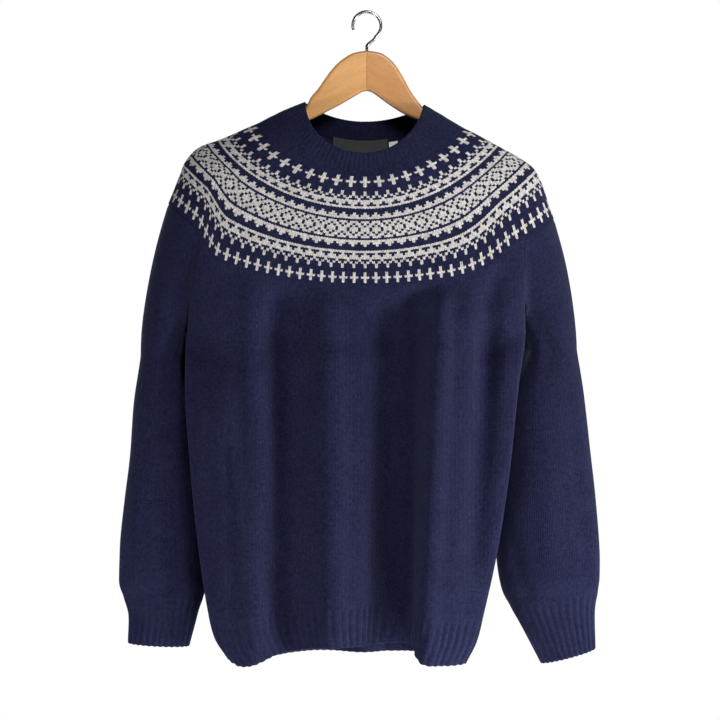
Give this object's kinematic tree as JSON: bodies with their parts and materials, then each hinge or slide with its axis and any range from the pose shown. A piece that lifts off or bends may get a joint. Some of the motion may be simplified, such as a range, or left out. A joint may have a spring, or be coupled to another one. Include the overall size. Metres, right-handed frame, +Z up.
{
  "type": "fair isle yoke jumper on a wooden hanger",
  "caption": "Long-sleeved crew neck jumper with a round patterned yoke, hanging open and empty on a flat wooden hanger with a wire hook.",
  "frame": {"origin": "the point inside the top of the hook where a rail carries the hanger", "axes": "+Z up, the front of the jumper faces -Y, +X is the wearer's left"},
  "size_m": [0.581, 0.1105, 0.7857],
  "materials": {
    "navy_wool": "brushed plain knit, matt with a soft nap",
    "patterned_wool": "stranded knit, off-white motifs on navy",
    "ribbed_wool": "ribbed knit, matt",
    "label_tape": "woven tape, slight sheen, bare",
    "tab_tape": "woven tape, bare",
    "beech": "clear satin lacquer",
    "beech_pale": "clear satin lacquer",
    "steel_wire": "polished wire"
  },
  "bodies": {
    "root": {"neckband": "ribbed_wool", "yoke": "patterned_wool", "front": "navy_wool", "back": "navy_wool", "sleeve_left": "navy_wool", "sleeve_right": "navy_wool", "cuff_left": "ribbed_wool", "cuff_right": "ribbed_wool", "hem_front": "ribbed_wool", "hem_back": "ribbed_wool", "label": "label_tape", "size_tab": "tab_tape", "hanger_left": "beech", "hanger_right": "beech_pale", "hook": "steel_wire"}
  },
  "joints": []
}
